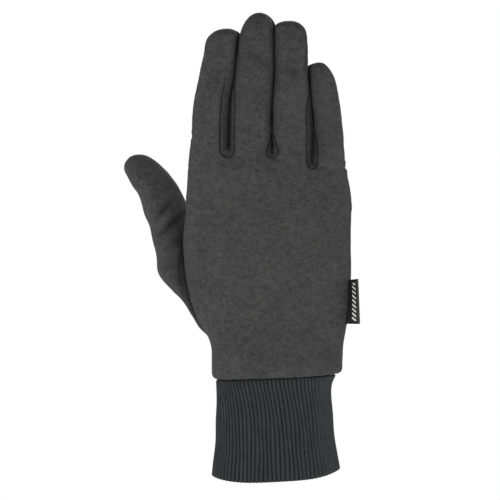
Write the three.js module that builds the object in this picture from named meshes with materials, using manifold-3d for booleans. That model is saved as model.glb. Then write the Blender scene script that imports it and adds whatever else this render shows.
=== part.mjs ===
// Liner glove for a right hand, filled as it is when worn, with its fingers up and the back of the
// hand facing -Y, the thumb towards -X. Millimetres, +Z up. The origin is the middle of the opening
// at the cuff's hem, where the wrist goes in.
import * as THREE from 'three';
import { mergeVertices } from 'three/addons/utils/BufferGeometryUtils.js';
import Module from 'manifold-3d';

const wasm = await Module();
wasm.setup();

// Cloth and clearances
const CLOTH = 1.2;
const CUFF_CLOTH = 1.9;
const RIB_RELIEF = 0.7;
const SEW_GAP = 0.3;
const FINGER_GAP = 0.6;

// Wrist and hand
const CUFF_LENGTH = 55.4;
const WRIST_WIDTH = 65.2;
const WRIST_DEPTH = 45;
const PALM_LENGTH = 121;
const HAND_WIDTH = 90.6;
const HAND_SHIFT = -4.8;
const HAND_THICKNESS = 29;
const KNUCKLE_SHIFT = -4.7;
const SEAM_FORWARD = 4.5;

// Fingers
const FINGER_CURL = 5;
const FINGER_ROOT = 26;
const TIP_ROUND = 0.46;
const FINGERS = [
  { name: 'index', width: 21.1, length: 67.8, thickness: 19.4, deeper: 0.5, tipLean: 0.16 },
  { name: 'middle', width: 23.4, length: 76.4, thickness: 20.4, deeper: 0, tipLean: 0.2 },
  { name: 'ring', width: 20.6, length: 72.1, thickness: 19.2, deeper: 0.4, tipLean: -0.04 },
  { name: 'little', width: 17.2, length: 49.4, thickness: 16.2, deeper: 2.6, tipLean: -0.1 },
];

// Thumb
const THUMB_LENGTH = 118;
const THUMB_WIDTH = 21.4;
const THUMB_THICKNESS = 20;
const THUMB_REACH = 76;
const THUMB_DEPTH = 16;
const THUMB_TOP_SHARE = 0.992;

// Ribs and label
const RIB_COUNT = 78;
const HEM_SLOPE = 0.045;
const LABEL_LENGTH = 23.5;
const LABEL_WIDTH = 5.8;
const LABEL_THICKNESS = 0.9;
const LABEL_RISE = 29.1;

// Palm sections from the cuff seam (up 0) to the finger crotches (up 1). left and right: how far that
// edge has gone from the wrist's width to the hand's. deep: the same from the wrist's depth to the
// hand's thickness. shut: share of that depth that is kept where the top closes. tilt: slope of the
// section along X.
const PALM_ROWS = [
  { up: 0, left: 0, right: 0, deep: 0, shut: 1, tilt: 0 },
  { up: 0.025, left: 0.1, right: 0.28, deep: -0.12, shut: 1, tilt: 0 },
  { up: 0.065, left: 0.12, right: 0.4, deep: -0.12, shut: 1, tilt: 0 },
  { up: 0.13, left: 0.14, right: 0.46, deep: 0.12, shut: 1, tilt: 0 },
  { up: 0.178, left: 0.22, right: 0.58, deep: 0.32, shut: 1, tilt: 0 },
  { up: 0.22, left: 0.4, right: 0.7, deep: 0.47, shut: 1, tilt: 0 },
  { up: 0.278, left: 0.61, right: 0.87, deep: 0.63, shut: 1, tilt: 0 },
  { up: 0.37, left: 0.82, right: 0.97, deep: 0.78, shut: 1, tilt: 0 },
  { up: 0.48, left: 0.94, right: 1, deep: 0.87, shut: 1, tilt: 0 },
  { up: 0.6, left: 1, right: 1, deep: 0.94, shut: 1, tilt: 0 },
  { up: 0.7, left: 0.94, right: 1, deep: 0.98, shut: 0.98, tilt: -0.02 },
  { up: 0.78, left: 0.87, right: 0.95, deep: 1, shut: 0.93, tilt: -0.05 },
  { up: 0.86, left: 0.79, right: 0.74, deep: 1, shut: 0.83, tilt: -0.11 },
  { up: 0.92, left: 0.72, right: 0.5, deep: 1, shut: 0.7, tilt: -0.16 },
  { up: 0.97, left: 0.64, right: 0.28, deep: 1, shut: 0.48, tilt: -0.19 },
];
const PALM_TOP = 1;

// Lines between the fingers. up: share of the middle finger's length above the crotches. The other
// columns: how far each line has moved along X from its place at the crotches, as a share of the
// knuckles' width, for the index side, the three slits and the little-finger side.
const SLIT_ROWS = [
  { up: 0, lines: [0, 0, 0, 0, 0] },
  { up: 0.18, lines: [0, 0.002, -0.005, -0.001, -0.008] },
  { up: 0.36, lines: [0.012, 0.009, -0.001, -0.016, -0.029] },
  { up: 0.53, lines: [0.046, 0.035, 0.011, -0.027, -0.062] },
  { up: 0.7, lines: [0.08, 0.05, 0.012, -0.033, -0.1] },
  { up: 1, lines: [0.11, 0.072, 0.006, -0.046, -0.14] },
];

// Finger thickness along its length, as shares of the finger's own.
const FINGER_ROWS = [
  { up: -0.38, deep: 0.7 },
  { up: -0.2, deep: 1.02 },
  { up: 0, deep: 1.08 },
  { up: 0.3, deep: 0.98 },
  { up: 0.6, deep: 0.95 },
  { up: 1, deep: 0.86 },
];

// U strips between the fingers. left and right: how far the seam on each neighbour lies from the slit,
// as a share of that neighbour's width. drop: how far the U hangs below its crotch and crotch: the
// height of that crotch against the knuckle line, as shares of the middle finger's width. top: where
// the strip runs out, as a share of the shorter neighbour's length.
const FOURCHETTES = [
  { name: 'fourchette_index_middle', left: 0.21, right: 0.12, drop: 0.21, crotch: 0.1, top: 0.8 },
  { name: 'fourchette_middle_ring', left: 0.18, right: 0.13, drop: 0.21, crotch: -0.03, top: 0.82 },
  { name: 'fourchette_ring_little', left: 0.24, right: 0.17, drop: 0.21, crotch: -0.24, top: 0.8 },
];

// Thumb sections from its tip to where its base runs into the wrist. out and low: place of the middle,
// as shares of the thumb's reach from the wrist's axis and of its length below the tip. wide and
// thick: shares of the thumb's own sizes. deep: share of its depth behind the hand.
const THUMB_ROWS = [
  { out: 1.038, low: 0.017, wide: 0.31, thick: 0.3, deep: 1.08 },
  { out: 1.024, low: 0.028, wide: 0.53, thick: 0.52, deep: 1.07 },
  { out: 1.003, low: 0.044, wide: 0.7, thick: 0.7, deep: 1.06 },
  { out: 0.974, low: 0.067, wide: 0.785, thick: 0.8, deep: 1.04 },
  { out: 0.908, low: 0.118, wide: 0.88, thick: 0.9, deep: 0.98 },
  { out: 0.832, low: 0.177, wide: 0.98, thick: 0.97, deep: 0.9 },
  { out: 0.776, low: 0.247, wide: 1.14, thick: 1.03, deep: 0.8 },
  { out: 0.717, low: 0.334, wide: 1.29, thick: 1.12, deep: 0.73 },
  { out: 0.664, low: 0.431, wide: 1.4, thick: 1.22, deep: 0.68 },
  { out: 0.599, low: 0.537, wide: 1.52, thick: 1.26, deep: 0.64 },
  { out: 0.5, low: 0.639, wide: 1.2, thick: 1.2, deep: 0.58 },
  { out: 0.395, low: 0.749, wide: 1.03, thick: 1.05, deep: 0.5 },
  { out: 0.303, low: 0.85, wide: 0.75, thick: 0.8, deep: 0.42 },
];
const THUMB_TIP = { out: 1.043, low: 0.013, deep: 1.08 };

// Cuff sections from the hem (up 0) to its seam with the hand (up 1). wide, deep and shift: shares of
// the wrist's sizes. slant: how far the ribs have turned round the wrist there, in ribs.
const CUFF_ROWS = [
  { up: 0.013, wide: 1.064, deep: 1.05, shift: 0.003, slant: 0 },
  { up: 0.3, wide: 1.002, deep: 1.003, shift: -0.004, slant: 0 },
  { up: 0.8, wide: 0.954, deep: 0.957, shift: -0.018, slant: -0.3 },
  { up: 0.92, wide: 0.957, deep: 0.96, shift: -0.016, slant: -0.8 },
  { up: 1, wide: 0.985, deep: 0.98, shift: -0.002, slant: -1.2 },
];

// Dents and folds of the filled cloth, as soft grooves in a line on the back (-1) or palm (1) side.
// x and spread are shares of the hand's width, z of the whole height and depth of the hand's thickness.
const FOLDS = [
  { face: -1, x1: -0.14, z1: 0.865, x2: -0.06, z2: 0.868, depth: 0.017, spread: 0.044 },
  { face: -1, x1: 0.04, z1: 0.86, x2: 0.12, z2: 0.856, depth: 0.017, spread: 0.044 },
  { face: -1, x1: -0.4, z1: 0.62, x2: -0.3, z2: 0.69, depth: 0.021, spread: 0.055 },
  { face: 1, x1: -0.1, z1: 0.4, x2: 0.12, z2: 0.66, depth: 0.048, spread: 0.066 },
  { face: 1, x1: -0.3, z1: 0.63, x2: 0.3, z2: 0.6, depth: 0.041, spread: 0.055 },
];

const SECTION_POWER = 2.4;
const PALM_SIDES = 32;
const PALM_INNER_SIDES = 20;
const FINGER_SIDES = 16;
const THUMB_SIDES = 22;
const INNER_SIDES = 10;
const BEYOND = 80;

const KNUCKLE_WIDTH = FINGERS.reduce((sum, finger) => sum + finger.width, 0);
const KNUCKLE_HEIGHT = CUFF_LENGTH + PALM_LENGTH;
const MIDDLE = FINGERS[1];
const TOTAL_HEIGHT = KNUCKLE_HEIGHT + MIDDLE.length;
const THUMB_TOP = CUFF_LENGTH + THUMB_TOP_SHARE * PALM_LENGTH;
const LABEL_HEIGHT = CUFF_LENGTH + LABEL_RISE;
const LEFT_REACH = HAND_WIDTH / 2 - HAND_SHIFT;
const RIGHT_REACH = HAND_WIDTH / 2 + HAND_SHIFT;

// Smooth value of one column of a table, at a place between its rows.
function columnAt(rows, read, place) {
  const last = rows.length - 1;
  const at = Math.min(Math.max(place, rows[0].up), rows[last].up);
  let k = 0;
  while (k < last - 1 && at > rows[k + 1].up) {
    k += 1;
  }
  const slope = (i) => {
    const a = Math.max(i - 1, 0);
    const b = Math.min(i + 1, last);
    return (read(rows[b]) - read(rows[a])) / (rows[b].up - rows[a].up);
  };
  const span = rows[k + 1].up - rows[k].up;
  const t = (at - rows[k].up) / span;
  const t2 = t * t;
  const t3 = t2 * t;
  return (2 * t3 - 3 * t2 + 1) * read(rows[k]) + (t3 - 2 * t2 + t) * span * slope(k)
    + (3 * t2 - 2 * t3) * read(rows[k + 1]) + (t3 - t2) * span * slope(k + 1);
}

// How far the filled fingers lean towards the palm at a height.
function curlAt(z) {
  const share = Math.max(0, (z - KNUCKLE_HEIGHT) / MIDDLE.length);
  return FINGER_CURL * share * share;
}

// Depth of the seam that joins back and palm along both edges of the hand.
function sideSeamAt(z) {
  const rise = THREE.MathUtils.smoothstep(z, CUFF_LENGTH + 0.6 * PALM_LENGTH, KNUCKLE_HEIGHT);
  return -SEAM_FORWARD * (1 - rise) + curlAt(z);
}

// X of the line on the far side of finger number k - 1, which is the near side of finger k.
function fingerLineAt(k, z) {
  let x = KNUCKLE_SHIFT - KNUCKLE_WIDTH / 2;
  for (let i = 0; i < k; i += 1) {
    x += FINGERS[i].width;
  }
  const up = (z - KNUCKLE_HEIGHT) / MIDDLE.length;
  return x + KNUCKLE_WIDTH * columnAt(SLIT_ROWS, (row) => row.lines[k], up);
}

// Soft grooves of the table of folds, pressed into a point on the back or palm side.
function pressFolds(point, side) {
  for (const fold of FOLDS) {
    const start = new THREE.Vector2(fold.x1 * HAND_WIDTH, fold.z1 * TOTAL_HEIGHT);
    const end = new THREE.Vector2(fold.x2 * HAND_WIDTH, fold.z2 * TOTAL_HEIGHT);
    const here = new THREE.Vector2(point.x, point.z);
    const run = end.clone().sub(start);
    const t = THREE.MathUtils.clamp(here.clone().sub(start).dot(run) / run.lengthSq(), 0, 1);
    const spread = fold.spread * HAND_WIDTH;
    const away = here.distanceTo(start.clone().addScaledVector(run, t)) / spread;
    const facing = Math.max(0, side * fold.face);
    point.y -= fold.face * fold.depth * HAND_THICKNESS * facing * Math.exp(-away * away);
  }
}

// Points of one cross-section: a rounded oblong along the section's side vector and Y.
function sectionPoints(section, sides) {
  const points = [];
  const power = 2 / SECTION_POWER;
  for (let i = 0; i < sides; i += 1) {
    const turn = (2 * Math.PI * i) / sides;
    const c = Math.cos(turn);
    const s = Math.sin(turn);
    const across = Math.sign(c) * Math.abs(c) ** power * section.halfWide;
    const side = Math.sign(s) * Math.abs(s) ** power;
    const point = section.middle.clone().addScaledVector(section.side, across);
    point.y += side * section.halfDeep;
    pressFolds(point, side);
    points.push(point);
  }
  return points;
}

// Closed skin over a row of sections, drawn to a point at each end.
function loft(sections, sides, firstPole, lastPole) {
  const points = [firstPole];
  for (const section of sections) {
    points.push(...sectionPoints(section, sides));
  }
  points.push(lastPole);
  const triangles = [];
  const at = (ring, i) => 1 + ring * sides + (i % sides);
  const top = points.length - 1;
  for (let i = 0; i < sides; i += 1) {
    triangles.push(0, at(0, i + 1), at(0, i));
    triangles.push(top, at(sections.length - 1, i), at(sections.length - 1, i + 1));
    for (let ring = 0; ring < sections.length - 1; ring += 1) {
      triangles.push(at(ring, i), at(ring, i + 1), at(ring + 1, i + 1));
      triangles.push(at(ring, i), at(ring + 1, i + 1), at(ring + 1, i));
    }
  }
  return solidFrom(points, triangles);
}

// Closed tube over a row of sections that comes back to its first section.
function closedTube(rings) {
  const sides = rings[0].length;
  const triangles = [];
  const at = (ring, i) => (ring % rings.length) * sides + (i % sides);
  for (let ring = 0; ring < rings.length; ring += 1) {
    for (let i = 0; i < sides; i += 1) {
      triangles.push(at(ring, i), at(ring, i + 1), at(ring + 1, i + 1));
      triangles.push(at(ring, i), at(ring + 1, i + 1), at(ring + 1, i));
    }
  }
  return solidFrom(rings.flat(), triangles);
}

// Solid from points and triangles, turned right side out.
function solidFrom(points, triangles) {
  let volume = 0;
  for (let i = 0; i < triangles.length; i += 3) {
    const [a, b, c] = [points[triangles[i]], points[triangles[i + 1]], points[triangles[i + 2]]];
    volume += a.dot(b.clone().cross(c));
  }
  const ordered = volume > 0 ? triangles : triangles.slice().reverse();
  const geometry = new THREE.BufferGeometry().setFromPoints(points);
  geometry.setIndex(ordered);
  return asSolid(geometry);
}

function asSolid(geometry) {
  const bare = geometry.clone();
  bare.deleteAttribute('normal');
  bare.deleteAttribute('uv');
  const merged = mergeVertices(bare, 1e-4);
  return new wasm.Manifold(new wasm.Mesh({
    numProp: 3,
    vertProperties: Float32Array.from(merged.attributes.position.array),
    triVerts: Uint32Array.from(merged.index.array),
  }));
}

// Palm, from the cuff seam to the finger crotches; grow moves its skin outwards.
function palmSolid(grow, sides, overrun) {
  const sections = PALM_ROWS.map((row) => {
    const left = WRIST_WIDTH / 2 + row.left * (LEFT_REACH - WRIST_WIDTH / 2);
    const right = WRIST_WIDTH / 2 + row.right * (RIGHT_REACH - WRIST_WIDTH / 2);
    const deep = THREE.MathUtils.lerp(WRIST_DEPTH, HAND_THICKNESS, row.deep) / 2;
    const height = CUFF_LENGTH + SEW_GAP + row.up * (PALM_LENGTH - SEW_GAP);
    return {
      middle: new THREE.Vector3((right - left) / 2, 0, height + grow * (1 - row.shut)),
      side: new THREE.Vector3(1, 0, row.tilt),
      halfWide: (left + right) / 2 + grow,
      halfDeep: deep * row.shut + grow,
    };
  });
  const first = sections[0];
  if (overrun > 0) {
    const lower = { ...first, middle: first.middle.clone() };
    lower.middle.z -= overrun;
    sections.unshift(lower);
  }
  const bottom = sections[0].middle.clone();
  const top = sections[sections.length - 1].middle.clone();
  top.z = CUFF_LENGTH + PALM_TOP * PALM_LENGTH + grow;
  return loft(sections, sides, bottom, top);
}

// One finger, from inside the palm to its round tip.
function fingerSolid(k, grow, sides) {
  const finger = FINGERS[k];
  const capStart = 1 - (TIP_ROUND * finger.width) / finger.length;
  const lining = grow < 0;
  const places = lining ? [-0.1, 0.3, 0.65] : [-0.22, -0.04, 0.14, 0.32, 0.52, 0.76];
  const sections = [];
  const addSection = (up, round) => {
    const height = KNUCKLE_HEIGHT + up * finger.length;
    const left = fingerLineAt(k, height) + FINGER_GAP / 2;
    const right = fingerLineAt(k + 1, height) - FINGER_GAP / 2;
    const deep = (finger.thickness / 2) * columnAt(FINGER_ROWS, (row) => row.deep, up);
    sections.push({
      middle: new THREE.Vector3((left + right) / 2, finger.deeper + curlAt(height), height),
      side: new THREE.Vector3(1, 0, finger.tipLean * (1 - round)),
      halfWide: ((right - left) / 2) * round + grow,
      halfDeep: deep * round + grow,
    });
  };
  addSection(-FINGER_ROOT / finger.length, 1);
  places.forEach((up) => addSection(up * capStart, 1));
  const capSteps = lining ? 4 : 5;
  for (let i = 0; i < capSteps; i += 1) {
    const turn = (i / capSteps) * (Math.PI / 2);
    addSection(capStart + (1 - capStart) * Math.sin(turn), Math.cos(turn) ** 0.9);
  }
  const bottom = sections[0].middle.clone();
  const tip = sections[sections.length - 1].middle.clone();
  tip.z = KNUCKLE_HEIGHT + finger.length + grow;
  return loft(sections, sides, bottom, tip);
}

function handSolid(grow, palmSides, fingerSides, overrun) {
  let hand = palmSolid(grow, palmSides, overrun);
  FINGERS.forEach((finger, k) => {
    hand = hand.add(fingerSolid(k, grow, fingerSides));
  });
  return hand;
}

// Thumb, square to its own bent middle line.
function thumbSolid(grow, sides) {
  const place = (row) => new THREE.Vector3(
    -row.out * THUMB_REACH,
    row.deep * THUMB_DEPTH,
    THUMB_TOP - row.low * THUMB_LENGTH,
  );
  const middles = THUMB_ROWS.map(place);
  const sections = THUMB_ROWS.map((row, i) => {
    const before = middles[Math.max(i - 1, 0)];
    const after = middles[Math.min(i + 1, middles.length - 1)];
    const along = after.clone().sub(before).setY(0).normalize();
    return {
      middle: middles[i],
      side: new THREE.Vector3(-along.z, 0, along.x),
      halfWide: (row.wide * THUMB_WIDTH) / 2 + grow,
      halfDeep: (row.thick * THUMB_THICKNESS) / 2 + grow,
    };
  });
  const tip = place(THUMB_TIP);
  const outwards = tip.clone().sub(middles[1]).setY(0).normalize();
  tip.addScaledVector(outwards, grow);
  return loft(sections, sides, tip, middles[middles.length - 1]);
}

// Region of a U strip seen from the back, as a block through the whole depth.
function fourchetteBlock(k, grow) {
  const strip = FOURCHETTES[k];
  const [near, far] = [FINGERS[k], FINGERS[k + 1]];
  const crotch = KNUCKLE_HEIGHT + strip.crotch * MIDDLE.width;
  const end = KNUCKLE_HEIGHT + strip.top * Math.min(near.length, far.length) + 2 * grow;
  const leftReach = strip.left * near.width + grow;
  const rightReach = strip.right * far.width + grow;
  const drop = strip.drop * MIDDLE.width + grow;
  const steps = 8;
  const outline = [];
  for (let i = 0; i <= steps; i += 1) {
    const turn = Math.PI * (i / steps);
    const reach = turn < Math.PI / 2 ? leftReach : rightReach;
    outline.push(new THREE.Vector2(
      fingerLineAt(k + 1, crotch) - reach * Math.cos(turn),
      crotch - drop * Math.sin(turn),
    ));
  }
  const legs = [0.25, 0.5, 0.75, 0.9];
  const leg = (share, reach) => new THREE.Vector2(
    fingerLineAt(k + 1, THREE.MathUtils.lerp(crotch, end, share)) + reach * (1 - share * share),
    THREE.MathUtils.lerp(crotch, end, share),
  );
  legs.forEach((share) => outline.push(leg(share, rightReach)));
  outline.push(new THREE.Vector2(fingerLineAt(k + 1, end), end));
  legs.slice().reverse().forEach((share) => outline.push(leg(share, -leftReach)));
  const block = new THREE.ExtrudeGeometry(new THREE.Shape(outline), {
    depth: 2 * BEYOND,
    bevelEnabled: false,
  });
  block.translate(0, 0, -BEYOND);
  block.rotateX(Math.PI / 2);
  return asSolid(block);
}

// Everything on one side of the side seam: face -1 is the back of the hand, 1 is the palm.
function seamBlock(face) {
  const shape = new THREE.Shape();
  const steps = 20;
  shape.moveTo(face * BEYOND, -BEYOND);
  for (let i = 0; i <= steps; i += 1) {
    const z = THREE.MathUtils.lerp(-BEYOND, TOTAL_HEIGHT + BEYOND, i / steps);
    shape.lineTo(sideSeamAt(z) + (face * SEW_GAP) / 2, z);
  }
  shape.lineTo(face * BEYOND, TOTAL_HEIGHT + BEYOND);
  const block = new THREE.ExtrudeGeometry(shape, { depth: 4 * BEYOND, bevelEnabled: false });
  block.applyMatrix4(new THREE.Matrix4().makeBasis(
    new THREE.Vector3(0, 1, 0),
    new THREE.Vector3(0, 0, 1),
    new THREE.Vector3(1, 0, 0),
  ));
  block.translate(-2 * BEYOND, 0, 0);
  return asSolid(block);
}

// Turn angles that space a section's points evenly along its edge.
function evenTurns(halfWide, halfDeep, count) {
  const fine = 720;
  const lengths = [0];
  for (let i = 1; i <= fine; i += 1) {
    const turn = (2 * Math.PI * (i - 0.5)) / fine;
    const step = Math.hypot(halfWide * Math.sin(turn), halfDeep * Math.cos(turn));
    lengths.push(lengths[i - 1] + step);
  }
  const turns = [];
  let k = 0;
  for (let i = 0; i < count; i += 1) {
    const wanted = (lengths[fine] * i) / count;
    while (lengths[k + 1] <= wanted) {
      k += 1;
    }
    const part = (wanted - lengths[k]) / (lengths[k + 1] - lengths[k]);
    turns.push((2 * Math.PI * (k + part)) / fine);
  }
  return turns;
}

// One ring of the cuff's skin; inset is how far it lies inside the ribs' crests.
function cuffRing(row, height, inset, relief) {
  const halfWide = (WRIST_WIDTH / 2) * row.wide - inset;
  const halfDeep = (WRIST_DEPTH / 2) * row.deep - inset;
  const count = 2 * RIB_COUNT;
  return evenTurns(halfWide, halfDeep, count).map((turn, i) => {
    const slanted = turn + (2 * Math.PI * row.slant) / RIB_COUNT;
    const valley = i % 2 === 0 ? 0 : relief;
    const across = row.shift * WRIST_WIDTH + (halfWide - valley) * Math.cos(slanted);
    const level = Math.max(0, 1 - height / (0.5 * CUFF_LENGTH));
    return new THREE.Vector3(
      across,
      (halfDeep - valley) * Math.sin(slanted),
      height + HEM_SLOPE * level * across,
    );
  });
}

function cuffSolid() {
  const outer = CUFF_ROWS.map((row) => cuffRing(row, row.up * CUFF_LENGTH, 0, RIB_RELIEF));
  const innerRows = CUFF_ROWS.filter((row, i) => i % 2 === 0);
  const inner = innerRows.map((row) => cuffRing(row, row.up * CUFF_LENGTH, CUFF_CLOTH, 0));
  const hem = cuffRing(CUFF_ROWS[0], 0, CUFF_CLOTH / 2, 0);
  return closedTube([hem, ...outer, ...inner.reverse()]);
}

// Folded tab of woven ribbon, caught in the side seam and lying flat towards the back of the hand.
function labelSolid() {
  const up = (LABEL_HEIGHT - CUFF_LENGTH + LABEL_LENGTH / 2) / PALM_LENGTH;
  const edgeAt = (place) => WRIST_WIDTH / 2
    + columnAt(PALM_ROWS, (row) => row.right, place) * (RIGHT_REACH - WRIST_WIDTH / 2);
  const halfStep = LABEL_LENGTH / 2 / PALM_LENGTH;
  const halfDeep = THREE.MathUtils.lerp(
    WRIST_DEPTH,
    HAND_THICKNESS,
    columnAt(PALM_ROWS, (row) => row.deep, up),
  ) / 2;
  const bow = (1 - (SEAM_FORWARD / halfDeep) ** SECTION_POWER) ** (1 / SECTION_POWER);
  const halfWide = (edgeAt(up) + LEFT_REACH) / 2;
  const root = edgeAt(up) - halfWide * (1 - bow) + 1.5 * SEW_GAP;
  const half = LABEL_THICKNESS / 2;
  const profile = new THREE.Shape();
  profile.moveTo(0, -half);
  profile.lineTo(LABEL_WIDTH - half, -half);
  profile.absarc(LABEL_WIDTH - half, 0, half, -Math.PI / 2, Math.PI / 2, false);
  profile.lineTo(0, half);
  profile.closePath();
  const tab = new THREE.ExtrudeGeometry(profile, {
    depth: LABEL_LENGTH,
    bevelEnabled: false,
    curveSegments: 6,
  });
  tab.translate(0, 0, -LABEL_LENGTH / 2);
  const lean = Math.atan2(edgeAt(up + halfStep) - edgeAt(up - halfStep), LABEL_LENGTH);
  tab.rotateY(lean);
  tab.translate(root, -SEAM_FORWARD, LABEL_HEIGHT + LABEL_LENGTH / 2);
  return asSolid(tab);
}

function makeMesh(name, solid, finish) {
  const { vertProperties, triVerts } = solid.getMesh();
  const geometry = new THREE.BufferGeometry();
  geometry.setAttribute('position', new THREE.BufferAttribute(vertProperties, 3));
  geometry.setIndex(new THREE.BufferAttribute(triVerts, 1));
  geometry.computeVertexNormals();
  const material = new THREE.MeshStandardMaterial({ ...finish, metalness: 0 });
  const mesh = new THREE.Mesh(geometry, material);
  mesh.name = name;
  return mesh;
}

const JERSEY = { color: 0x464846, roughness: 0.95 };
const RIB_KNIT = { color: 0x36383a, roughness: 0.9 };
const RIBBON = { color: 0x16171a, roughness: 0.6 };

// The whole sewn shell of the hand, hollow, with the hole that the thumb opens into.
const handShell = handSolid(0, PALM_SIDES, FINGER_SIDES, 0)
  .subtract(handSolid(-CLOTH, PALM_INNER_SIDES, INNER_SIDES, 2 * CLOTH))
  .subtract(thumbSolid(-CLOTH, INNER_SIDES));

let panels = handShell;
FOURCHETTES.forEach((strip, k) => {
  panels = panels.subtract(fourchetteBlock(k, SEW_GAP));
});

const thumb = thumbSolid(0, THUMB_SIDES)
  .subtract(thumbSolid(-CLOTH, INNER_SIDES))
  .subtract(handSolid(SEW_GAP, PALM_SIDES, FINGER_SIDES, CLOTH));

const glove = new THREE.Group();
glove.add(makeMesh('back_panel', panels.intersect(seamBlock(-1)), JERSEY));
glove.add(makeMesh('palm_panel', panels.intersect(seamBlock(1)), JERSEY));
FOURCHETTES.forEach((strip, k) => {
  const piece = handShell.intersect(fourchetteBlock(k, 0));
  glove.add(makeMesh(strip.name, piece, JERSEY));
});
glove.add(makeMesh('thumb', thumb, JERSEY));
glove.add(makeMesh('cuff', cuffSolid(), RIB_KNIT));
glove.add(makeMesh('label', labelSolid(), RIBBON));

export default glove;
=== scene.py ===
"""Looks of a liner glove for a right hand: brushed jersey panels, a ribbed knit cuff and a label."""
import math

import bpy
import numpy as np
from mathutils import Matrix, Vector


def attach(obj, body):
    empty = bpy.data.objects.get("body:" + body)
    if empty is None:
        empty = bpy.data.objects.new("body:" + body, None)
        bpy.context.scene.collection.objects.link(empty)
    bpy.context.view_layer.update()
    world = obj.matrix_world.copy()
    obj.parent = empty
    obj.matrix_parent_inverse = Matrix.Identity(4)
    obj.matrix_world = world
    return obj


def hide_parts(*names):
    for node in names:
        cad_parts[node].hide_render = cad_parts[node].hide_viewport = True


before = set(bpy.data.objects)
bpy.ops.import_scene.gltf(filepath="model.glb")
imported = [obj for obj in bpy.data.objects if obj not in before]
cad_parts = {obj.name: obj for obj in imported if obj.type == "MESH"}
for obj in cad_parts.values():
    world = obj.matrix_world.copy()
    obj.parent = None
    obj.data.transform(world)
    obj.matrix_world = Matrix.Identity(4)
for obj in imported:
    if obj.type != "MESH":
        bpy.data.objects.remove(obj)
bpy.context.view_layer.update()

# Lengths below are millimetres in the frame's own axes; meshes are written in metres.
MM = 0.001

# Thickness of the jersey, gap between two fingers, and how far the side seams lie towards the back
CLOTH = 1.1
FINGER_GAP = 0.14
SEAM_FORWARD = 4.5

CUFF_LENGTH = 55.4
WRIST_WIDTH = 65.2
WRIST_DEPTH = 45
PALM_LENGTH = 121
HAND_WIDTH = 90.6
HAND_SHIFT = -4.8
HAND_THICKNESS = 29
KNUCKLE_SHIFT = -4.7

FINGER_CURL = 5
FINGER_ROOT = 26
# From the index to the little finger
FINGERS = [
    dict(width=21.1, length=67.8, thickness=19.4, deeper=0.5),
    dict(width=23.4, length=76.4, thickness=20.4, deeper=0),
    dict(width=20.6, length=72.1, thickness=19.2, deeper=0.4),
    dict(width=17.2, length=49.4, thickness=16.2, deeper=3.2),
]
# Each tip: its highest place across the finger, then how far down the round goes on either side,
# as shares of the finger's width, and how square its two edges are.
TIPS = [
    dict(peak=0.67, left=0.44, right=0.23, left_power=2.6, right_power=3.2),
    dict(peak=0.59, left=0.78, right=0.4, left_power=2.8, right_power=2.8),
    dict(peak=0.46, left=0.21, right=0.4, left_power=2.9, right_power=2.8),
    dict(peak=0.57, left=0.28, right=0.58, left_power=2.9, right_power=2.8),
]
# Each slit steps sideways halfway through the depth, its front towards -X where the step is above
# zero; a hollow of some width and height opens it on the back of the hand above each crotch.
SLIT_STEP = (0, 2.6, 2.2, -2.6, 0)
SLIT_HOLLOW = (0, 1.5, 2.0, 3.0, 0)
SLIT_HOLLOW_HEIGHT = (1, 40, 13, 40, 1)

# How far above its lower crotch a finger stands alone, and how softly it joins its neighbours and
# the palm; how round its tip is.
ALONE_ABOVE = 6
NEIGHBOUR_BLEND = 9
PALM_BLEND = 7.0
TIP_POWER = 2.1

THUMB_THICKNESS = 20
THUMB_DEPTH = 16
THUMB_STEP = 0.6
THUMB_POWER = 2.1
THUMB_THINNEST = 0.15
THUMB_ROUND = 128

SECTION_POWER = 2.4
KNUCKLE_WIDTH = sum(finger["width"] for finger in FINGERS)
KNUCKLE_HEIGHT = CUFF_LENGTH + PALM_LENGTH
MIDDLE = FINGERS[1]
LEFT_REACH = HAND_WIDTH / 2 - HAND_SHIFT
RIGHT_REACH = HAND_WIDTH / 2 + HAND_SHIFT

# Palm sections: share of the way up, then how far the left edge, the right edge and the depth have
# gone from the wrist's size to the hand's, the share of depth kept near the top, and the slope.
PALM_COLUMNS = ("up", "left", "right", "deep", "shut", "tilt")
PALM_ROWS = [
    (-0.01, 0.03, 0, 0, 1, 0),
    (0.012, 0.1, 0.06, -0.08, 1, 0),
    (0.035, 0.115, 0.35, -0.12, 1, 0),
    (0.065, 0.12, 0.4, -0.12, 1, 0),
    (0.13, 0.14, 0.46, 0.12, 1, 0),
    (0.178, 0.22, 0.58, 0.32, 1, 0),
    (0.22, 0.4, 0.7, 0.47, 1, 0),
    (0.278, 0.61, 0.87, 0.63, 1, 0),
    (0.37, 0.82, 0.97, 0.78, 1, 0),
    (0.48, 0.94, 1, 0.87, 1, 0),
    (0.6, 1, 1, 0.94, 1, 0),
    (0.7, 0.94, 1, 0.98, 0.98, -0.02),
    (0.78, 0.87, 1.02, 1, 0.93, -0.05),
    (0.86, 0.79, 0.92, 1, 0.83, -0.11),
    (0.92, 0.72, 0.72, 1, 0.7, -0.16),
    (0.97, 0.64, 0.5, 1, 0.48, -0.19),
    (1.0, 0.6, 0.4, 1, 0.1, -0.19),
]

# Lines at the index side, the three slits and the little-finger side: share of the middle finger's
# length above the crotches, then each line's move along X as a share of the knuckles' width.
LINE_COLUMNS = ("up", "line0", "line1", "line2", "line3", "line4")
LINE_ROWS = [
    (0, 0, 0, 0, 0, 0.012),
    (0.18, 0, 0.002, -0.005, -0.001, -0.001),
    (0.36, 0.012, 0.009, -0.001, -0.016, -0.018),
    (0.53, 0.046, 0.035, 0.011, -0.027, -0.051),
    (0.7, 0.08, 0.05, 0.012, -0.033, -0.1),
    (1, 0.11, 0.072, 0.006, -0.046, -0.14),
]

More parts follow.
